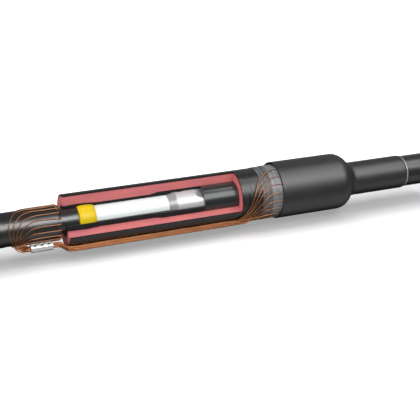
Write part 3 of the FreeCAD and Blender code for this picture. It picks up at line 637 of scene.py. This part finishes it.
def in_bundle(x, slot, wobble=(0.0, 0.0), twisted=True):
    """The place of one wire's middle in the bundle."""
    distance, turn = slot
    lay = 360 * (x - TWIST_START) / sizes().bundle_lay if twisted and x < TWIST_START else 0.0
    turn = math.radians(turn + lay)
    middle = bundle_middle(x)
    radius = middle + distance * math.cos(turn) + wobble[0]
    around = distance * math.sin(turn) + wobble[1]
    return (x, sizes().bundle_angle + math.degrees(around / middle), radius)


def wobbled(draw, x):
    """A small seeded stray of a bundled wire, more where the bundle climbs."""
    loose = 0.09 + 0.42 * math.exp(-((x - CLIMB) / 7.0) ** 2)
    return (draw.uniform(-loose, loose), draw.uniform(-loose, loose))


def hook_over(angle, ring, on_jacket):
    """Out of the left cable, in a hook of 2.5 mm over its jacket's cut edge, and back along it."""
    return [
        (-TAIL, angle, ring),
        (-JACKET_CUT - 6.0, angle, ring),
        (-JACKET_CUT + 1.7, angle, ring),
        (-JACKET_CUT + 2.5, angle, (ring + on_jacket) / 2),
        (-JACKET_CUT + 1.8, angle, on_jacket + 0.35),
        (-JACKET_CUT - 2.0, angle, on_jacket + 0.02),
    ]


def left_loop(angle, rank, on_jacket):
    """The loop of a left wire from behind, under the jacket, and where it leaves the jacket."""
    bundle = sizes().bundle_angle
    away = bundle - angle
    arc = math.radians(away) * on_jacket
    # each next loop lies farther out, and a wire that goes farther round bends more slowly
    far = FERRULE_LEFT - 2.9 - 1.5 * rank
    sweep = min(14.0 + 0.33 * arc, -JACKET_CUT - 8.0 - far)
    drop = min(6.0 + 0.47 * arc, arc) / arc * away
    places = [(far + sweep, angle), (far + 0.22 * sweep, angle + 0.08 * drop), (far, angle + 0.75 * drop)]
    turn = angle + drop + 22.0
    while turn < bundle - 24.0:
        places.append((far - 0.2, turn))
        turn += 22.0
    return places, min(far + 0.6, FERRULE_LEFT - 5.4)


def left_route(angle, rank, side, ring, on_jacket):
    """One left wire to the ferrule, and how many of its places lie before the bundle."""
    bundle = sizes().bundle_angle
    if side > 0:
        places, leaving, slot = LEFT_FRONT[rank], LEFT_LEAVING[rank], LEFT_FRONT_SLOTS[rank]
    else:
        places, leaving = left_loop(angle, rank, on_jacket)
        slot = LEFT_BACK_SLOTS[rank]
    joined = min(leaving + 7.5, FERRULE_LEFT - 0.8)
    inside = in_bundle(joined, slot, twisted=False)
    clear = on_jacket + 2.2 + 0.12 * rank
    route = hook_over(angle, ring, on_jacket)
    route += [(x, turn, on_jacket) for x, turn in places]
    route += [
        (leaving, bundle + side * 4.0, on_jacket + 0.1),
        (leaving + 1.3, bundle + side * 0.8, clear),
        ((leaving + joined) / 2 + 0.8, 0.3 * bundle + 0.7 * inside[1], 0.25 * clear + 0.75 * inside[2]),
    ]
    before = len(route)
    route += [in_bundle(x, slot, twisted=False) for x in (joined, FERRULE_LEFT + 2.0, FERRULE_MIDDLE)]
    return route, before


def right_lean(rank, on_wrap):
    """The way of a right wire from behind, along the wrap and leaning under it to the bundle."""
    bundle = sizes().bundle_angle
    spread = 8.0 + 17.6 * rank
    turn = bundle - spread
    arc = math.radians(spread) * on_wrap
    # the corner is where the wire leaves its straight run, and it comes earlier for the higher ones
    corner = 65.3 - 0.12 * arc
    bend = min(6.0 + 0.33 * arc, 0.4 * spread)
    lean = (corner - (50.0 - 2.1 * rank)) / arc
    turn_per_mm = 57.3 / on_wrap  # degrees round the wrap to a millimetre of arc
    places = [(84, turn), (corner + 0.6 * bend + 2, turn), (corner + 0.8, turn + 0.12 * spread)]
    for part in (bend, 0.5 * (arc + bend)):
        places.append((corner - lean * part, bundle - (arc - part) * turn_per_mm))
    return places


def right_route(draw, angle, rank, side, ring, on_wrap):
    """One right wire to the ferrule, and how many of its places lie before the bundle."""
    bundle = sizes().bundle_angle
    if side > 0:
        places, slot = RIGHT_FRONT[rank], RIGHT_FRONT_SLOTS[rank]
    else:
        places, slot = right_lean(rank, on_wrap), RIGHT_BACK_SLOTS[rank]
    under_sleeve = places[0][1]
    rise = BODY_END + 4.15
    start = places[-1][0] - 7.0
    route = [
        (TAIL, angle, ring),
        (rise + 6.0, angle, ring),
        (rise, angle, ring + 0.3),
        (rise, under_sleeve, BODY - 1.3),
        (BODY_END + 0.65, under_sleeve, BODY + 0.8),
        (WRAP_END, under_sleeve, on_wrap),
        (WRAP_END - 8.0, under_sleeve, on_wrap),
    ]
    route += [(x, turn, on_wrap) for x, turn in places]
    route.append((start + 2.5, bundle + side * 2.5, (on_wrap + in_bundle(start, slot)[2]) / 2))
    before = len(route)
    # the places are closer together where the bundle climbs
    x = start - 1.5
    while x > FERRULE_MIDDLE:
        route.append(in_bundle(x, slot, wobbled(draw, x)))
        x -= 4.0 if abs(x - CLIMB) < 10.0 else 9.0
    route.append(in_bundle(FERRULE_MIDDLE, slot))
    return route, before


# Operators


class DressCables(bpy.types.Operator):
    """Finish the two cables' jackets, screens, insulation and strands"""

    bl_idname = "cable_joint.dress_cables"
    bl_label = "Cables"

    def execute(self, context):
        look = finishes()
        jacket = black_polymer("jacket_polyethylene", look.jacket, 0.33, grain_along=0.5)
        screen = black_polymer("conductive_screen", look.screen, 0.32, grain_round=0.9)
        copper = drawn_copper("strand_copper", look.strand, 0.34)
        white = white_insulation("white_insulation", look.insulation)
        for side in ("left", "right"):
            dress(side + "_jacket", jacket)
            dress(side + "_insulation_screen", screen)
            dress(side + "_conductor_screen", screen)
            dress(side + "_insulation", white)
            dress(side + "_conductor", copper)
        return {"FINISHED"}


class MakeMastic(bpy.types.Operator):
    """Press the yellow mastic over the edge of each insulation screen"""

    bl_idname = "cable_joint.make_mastic"
    bl_label = "Stress mastic"

    AROUND = 120  # faces round it
    FINENESS = 5
    CLEARANCE = 0.02  # between the mastic and what lies under it
    # outside of the mastic from its outer edge to its inner one, as (share of length, height)
    OUTSIDE = [(0.0, 0.84), (0.0, 1.25), (0.07, 1.75), (0.22, 2.25), (0.50, 2.42), (0.76, 2.22), (0.93, 1.25),
               (1.0, 0.70), (1.0, 0.04)]

    def pressed(self, point, turn):
        """A point of the outline turned round the cable, with the uneven press of fingers at its crown."""
        x, radius = point.x, -point.y
        crown = max(radius / MM - INSULATION - 1.2, 0.0)
        press = math.sin(3 * turn + 1.1) + 0.7 * math.sin(7 * turn + 900 * x) + 0.5 * math.sin(11 * turn)
        radius += 0.035 * crown * press * MM
        return (x, -radius * math.cos(turn), radius * math.sin(turn))

    def execute(self, context):
        material = yellow_mastic("yellow_mastic", finishes().mastic)
        for name, way in (("left", -1), ("right", 1)):
            low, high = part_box(name + "_stress_mastic")
            outer = (low if way < 0 else high)[0] / MM
            inner = (high if way < 0 else low)[0] / MM
            outside = [(outer + (inner - outer) * share, 0.0, INSULATION + height)
                       for share, height in self.OUTSIDE]
            screen_cut = (inner + 2 * outer) / 3
            underside = ((inner, INSULATION), (screen_cut, INSULATION), (outer, CORE))
            outline = smooth_line(outside, self.FINENESS)
            outline += [on_joint(x, 0.0, radius + self.CLEARANCE) for x, radius in underside]
            turns = [2 * math.pi * index / self.AROUND for index in range(self.AROUND)]
            mesh = bmesh.new()
            rings = [[mesh.verts.new(self.pressed(point, turn)) for turn in turns] for point in outline]
            join_rings(mesh, rings + rings[:1])
            new_piece(name + "_mastic", mesh, material, name + "_stress_mastic")
        return {"FINISHED"}


class DressConnector(bpy.types.Operator):
    """Finish the connector barrel and its sheared bolts"""

    bl_idname = "cable_joint.dress_connector"
    bl_label = "Connector"

    def execute(self, context):
        look = finishes()
        barrel = turned_metal("connector_metal", look.connector, 0.34, metallic=0.45,
                              shaded_beyond=BARREL_SHADE_START)
        bolts = turned_metal("bolt_metal", look.bolt, 0.45, rings=0.1, tarnish=0.2, metallic=0.4)
        dress("connector_barrel", barrel)
        dress("shear_bolts", bolts)
        return {"FINISHED"}


class DressBody(bpy.types.Operator):
    """Finish the stress control tube, the red body and its skin"""

    bl_idname = "cable_joint.dress_body"
    bl_label = "Joint body"

    def execute(self, context):
        look = finishes()
        tube = black_polymer("stress_tube_rubber", look.tube, 0.33, grain_along=0.5, specular=0.12,
                             polished_from=TUBE_WINDOW_END)
        skin = black_polymer("conductive_skin", look.skin, 0.35, grain_round=2.6, grain=420,
                             specular=0.72)
        dress("stress_control_tube", tube)
        dress("insulating_body", red_elastomer("red_elastomer", look.body))
        dress("body_screen", skin)
        return {"FINISHED"}


class DressWrap(bpy.types.Operator):
    """Finish the two turns of metal wrap"""

    bl_idname = "cable_joint.dress_wrap"
    bl_label = "Metal wrap"

    def execute(self, context):
        dress("shield_wrap", knitted_wrap("knitted_wrap", finishes().wrap))
        return {"FINISHED"}


class DressSleeve(bpy.types.Operator):
    """Finish the outer sleeve and the ring of sealant at its small end"""

    bl_idname = "cable_joint.dress_sleeve"
    bl_label = "Outer sleeve"

    def execute(self, context):
        look = finishes()
        sleeve = black_polymer("sleeve_rubber", look.sleeve, 0.44, grain_round=0.25, mottle=0.3)
        dress("outer_sleeve", sleeve)
        dress("sleeve_sealant", pale_sealant("pale_sealant", look.sealant))
        return {"FINISHED"}


class MakeFerrule(bpy.types.Operator):
    """Build the crimped ferrule with its rounded dents"""

    bl_idname = "cable_joint.make_ferrule"
    bl_label = "Ferrule"

    BORE = 3.05  # inside radius
    DENTS = (-7.0, 0.0, 7.0)  # places of the dents from the ferrule's middle
    DENT_TURN = 107.0  # turn of the dents from the ferrule's outer side
    DENT_REACH = (2.35, 1.75)  # half a dent's length and width
    AROUND = 96  # faces round it
    ALONG = 92  # faces along it
    EDGE_DROP, EDGE_REACH = 0.45, 0.5  # how much the ends are rounded, and over what length

    def radius_at(self, x, turn, length):
        """The ferrule's outside at a place along it and a turn from its outer side."""
        size = sizes()
        outside = size.ferrule_radius
        edge = length / 2 - abs(x)
        outside -= self.EDGE_DROP * max(0.0, 1 - edge / self.EDGE_REACH) ** 2
        for middle in self.DENTS:
            across = math.radians(turn - self.DENT_TURN) * outside
            shares = abs((x - middle) / self.DENT_REACH[0]), abs(across / self.DENT_REACH[1])
            # how far from the dent's middle, 1 on its outline: first its wall, then a low rim round it
            far = (shares[0] ** 3 + shares[1] ** 3) ** (1 / 3)
            outside -= size.dent_depth * eased((1.08 - far) / 0.26)
            outside += 0.04 * math.exp(-((far - 1.25) / 0.22) ** 2)
        return outside

    def execute(self, context):
        size = sizes()
        length = FERRULE_RIGHT - FERRULE_LEFT
        middle = on_joint(FERRULE_MIDDLE, size.bundle_angle, size.ferrule_height)
        outward = (on_joint(0, size.bundle_angle, 1.0) / MM).normalized()
        sideways = Vector((1, 0, 0)).cross(outward) * -1

        def spot(x, turn, radius):
            angle = math.radians(turn)
            arm = outward * math.cos(angle) + sideways * math.sin(angle)
            return middle + Vector((x, 0, 0)) * MM + arm * radius * MM

        turns = [-180 + 360 * index / self.AROUND for index in range(self.AROUND)]
        mesh = bmesh.new()
        rings = []
        for step in range(self.ALONG + 1):
            x = -length / 2 + length * step / self.ALONG
            rings.append([mesh.verts.new(spot(x, turn, self.radius_at(x, turn, length))) for turn in turns])
        for x in (length / 2, -length / 2):
            rings.append([mesh.verts.new(spot(x, turn, self.BORE)) for turn in turns])
        join_rings(mesh, rings + rings[:1])
        bottom = size.ferrule_radius - size.dent_depth
        material = turned_metal(
            "ferrule_metal", finishes().ferrule, 0.27, rings=0.2, scratches=0.8, metallic=0.6,
            dents=[spot(x, self.DENT_TURN, bottom) for x in self.DENTS])
        new_piece("ferrule", mesh, material, "crimp_ferrule")
        return {"FINISHED"}


class MakeWires(bpy.types.Operator):
    """Bend the screen wires of both cables and gather them into their bundles"""

    bl_idname = "cable_joint.make_wires"
    bl_label = "Screen wires"

    FINENESS = 6

    def execute(self, context):
        size = sizes()
        radius = size.wire_diameter / 2
        ring = CORE + GAP + radius
        copper = drawn_copper("wire_copper", finishes().wire, 0.31, finishes().bundle)
        cables = (
            ("left", left_route, len(LEFT_FRONT), JACKET_SEAT + GAP + radius),
            ("right", partial(right_route, random.Random(7)), len(RIGHT_FRONT), WRAP + GAP + radius),
        )
        for name, make_route, front_count, rest in cables:
            front, back = wire_angles(front_count)
            wires, bundle = bmesh.new(), bmesh.new()
            for side, angles in ((1, front), (-1, back)):
                for rank, angle in enumerate(angles):
                    route, before = make_route(angle, rank, side, ring, rest)
                    line = smooth_line(route, self.FINENESS)
                    cut = (before - 1) * self.FINENESS
                    add_tube(wires, line[:cut + 1], radius * MM, size.wire_sides)
                    add_tube(bundle, line[cut - 1:], radius * MM, size.wire_sides)
            new_piece(name + "_wires", wires, copper, name + "_screen_wires")
            new_piece(name + "_bundle", bundle, copper, name + "_wire_bundle")
        return {"FINISHED"}


class SetStage(bpy.types.Operator):
    """Set the floor, the soft lights, the pale surroundings and the camera"""

    bl_idname = "cable_joint.set_stage"
    bl_label = "Stage"

    # where the camera stands, and its right, up and back directions
    CAMERA_PLACE = (-0.35143, -0.88060, 0.37579)
    CAMERA_RIGHT = (0.92702, -0.37501, 0.0)
    CAMERA_UP = (0.14192, 0.35082, 0.92562)
    CAMERA_BACK = (-0.34712, -0.85807, 0.37844)
    CAMERA_LENS = 79.71

    FLOOR_REACH = 9.0
    FLOOR_TINT = (0.85, 0.85, 0.875)
    FLOOR_FACING = (0.0, 0.62, 0.785)  # the floor takes light as if it leaned to the back
    # the floor's glow is dimmed along this stretch, under the joint: the real shadow stays, and a painted
    # soft shadow darkens the floor round the joint
    SHADOW_ENDS = (-0.36, 0.0, -1.0), (0.36, 0.0, 1.0)

    # name, place, target, width and height, roll, and whether reflections show it
    LIGHTS = (
        ("key", (0.40, -0.87, 0.86), (0.02, 0.0, 0.0), (1.30, 0.78), 4.0, True),
        ("strip", (-0.03, -0.96, 0.79), (-0.2, 0.0, 0.0), (0.42, 0.66), 0.0, True),
        ("side", (0.86, -0.14, 1.22), (0.22, 0.0, 0.0), (0.36, 0.85), 0.0, True),
        ("top", (0.0, 0.30, 1.35), (0.0, 0.0, 0.0), (1.8, 0.9), 0.0, False),
        ("fill", (-1.45, -0.25, 0.30), (0.0, 0.0, 0.0), (0.9, 0.9), 0.0, False),
    )

    def pale_floor(self, settings):
        """White to the camera, with the real shadow kept and a soft shadow painted round the joint, and dim
        in reflections.
        """
        finish = Finish("pale_floor")
        seen, mirrored, passed = finish.rays()
        nearest = finish.vector("MAXIMUM", finish.place(), self.SHADOW_ENDS[0])
        nearest = finish.vector("MINIMUM", nearest, self.SHADOW_ENDS[1])
        # painted shadow: within about 0.1 m of the joint the floor's glow falls to floor_glow
        far = finish.step(finish.vector("DISTANCE", finish.place(), nearest, output=1), 0.020, 0.105)
        front = finish.parts(finish.place())[1] * -1.0
        front = finish.step(front, 0.015, 0.036) * (1 - finish.step(front, 0.055, 0.105))
        shown = seen * (far * (1 - settings.floor_glow) + settings.floor_glow)
        shown = shown + (mirrored + passed) * (far * settings.room_front + front * settings.floor_front)
        glow = finish.node("ShaderNodeEmission", None, {0: (1, 1, 1, 1), 1: shown})
        kept = 1 - mirrored * (1 - settings.floor_mirrored)
        tint = finish.node("ShaderNodeVectorMath", {"operation": "SCALE"}, {0: self.FLOOR_TINT, 3: kept})
        facing = finish.node("ShaderNodeCombineXYZ", None, dict(enumerate(self.FLOOR_FACING)))
        matt = finish.node("ShaderNodeBsdfDiffuse", None, {0: tint, 2: facing})
        both = finish.node("ShaderNodeAddShader", None, {0: matt, 1: glow})
        finish.node("ShaderNodeOutputMaterial", None, {0: both})
        return finish.owner

    def add_floor(self, settings):
        mesh = bmesh.new()
        corners = [mesh.verts.new((x * self.FLOOR_REACH, y * self.FLOOR_REACH, -settings.floor_drop))
                   for x, y in ((-1, -1), (1, -1), (1, 1), (-1, 1))]
        mesh.faces.new(corners)
        floor = add_mesh("floor", mesh, self.pale_floor(settings))

    def add_light(self, name, place, target, size, roll, mirrored, power):
        data = bpy.data.lights.new(name, "AREA")
        data.shape = "RECTANGLE"
        data.size, data.size_y = size
        data.energy = power
        light = add_object(name, data)
        light.location = place
        light.rotation_mode = "QUATERNION"
        aim = (Vector(target) - Vector(place)).to_track_quat("-Z", "Y")
        light.rotation_quaternion = aim @ Quaternion((0, 0, 1), math.radians(roll))
        light.visible_glossy = mirrored

    def set_world(self, settings):
        """White to the camera, a little even light, and in reflections a room that is paler at its back."""
        world = bpy.data.worlds.new("pale_room")
        finish = Finish("pale_room", world)
        seen, mirrored, passed = finish.rays()
        right, ahead, _ = finish.parts(finish.node("ShaderNodeTexCoord", output="Generated"))
        right = finish.step(right, 0.05, 0.42) * (1 - settings.room_left) + settings.room_left
        back = finish.step(ahead, -0.1, 0.95) * (settings.room_back - settings.room_front) * right
        strength = seen + (mirrored + passed) * (back + settings.room_front)
        strength = strength + (1 - (seen + mirrored + passed)).clamped() * settings.sky
        light = finish.node("ShaderNodeBackground", None, {0: (1, 1, 1, 1), 1: strength})
        finish.node("ShaderNodeOutputWorld", None, {0: light})
        bpy.context.scene.world = world

    def add_camera(self):
        data = bpy.data.cameras.new("camera")
        data.lens = self.CAMERA_LENS
        data.sensor_width = 36.0
        data.clip_start, data.clip_end = 0.05, 30.0
        camera = add_object("camera", data)
        turn = Matrix((self.CAMERA_RIGHT, self.CAMERA_UP, self.CAMERA_BACK)).transposed().to_4x4()
        camera.matrix_world = Matrix.Translation(self.CAMERA_PLACE) @ turn
        bpy.context.scene.camera = camera

    def execute(self, context):
        settings = stage_settings()
        context.scene.view_settings.view_transform = "Standard"
        self.add_floor(settings)
        for light in self.LIGHTS:
            self.add_light(*light, getattr(settings, light[0] + "_power"))
        self.set_world(settings)
        self.add_camera()
        return {"FINISHED"}


class JointPanel(bpy.types.Panel):
    """Lists the joint's settings and the pieces that can be made"""

    bl_idname = "VIEW3D_PT_cable_joint"
    bl_label = "Cable joint"
    bl_space_type = "VIEW_3D"
    bl_region_type = "UI"
    bl_category = "Cable joint"

    def draw(self, context):
        for settings in (sizes(), finishes(), stage_settings()):
            box = self.layout.box()
            for key in settings.__annotations__:
                box.prop(settings, key)
        for operator in OPERATORS:
            self.layout.operator(operator.bl_idname)


OPERATORS = (DressCables, MakeMastic, DressConnector, DressBody, DressWrap, DressSleeve,
             MakeFerrule, MakeWires, SetStage)
SETTINGS = (("joint_sizes", JointSizes), ("joint_finishes", JointFinishes), ("joint_stage", JointStage))


def register():
    for name, group in SETTINGS:
        bpy.utils.register_class(group)
        setattr(bpy.types.Scene, name, PointerProperty(type=group))
    for item in (*OPERATORS, JointPanel):
        bpy.utils.register_class(item)


def unregister():
    for item in (JointPanel, *OPERATORS):
        bpy.utils.unregister_class(item)
    for name, group in SETTINGS:
        delattr(bpy.types.Scene, name)
        bpy.utils.unregister_class(group)


def main():
    register()
    for operator in OPERATORS:
        group, step = operator.bl_idname.split(".")
        getattr(getattr(bpy.ops, group), step)()


if __name__ == "__main__":
    main()
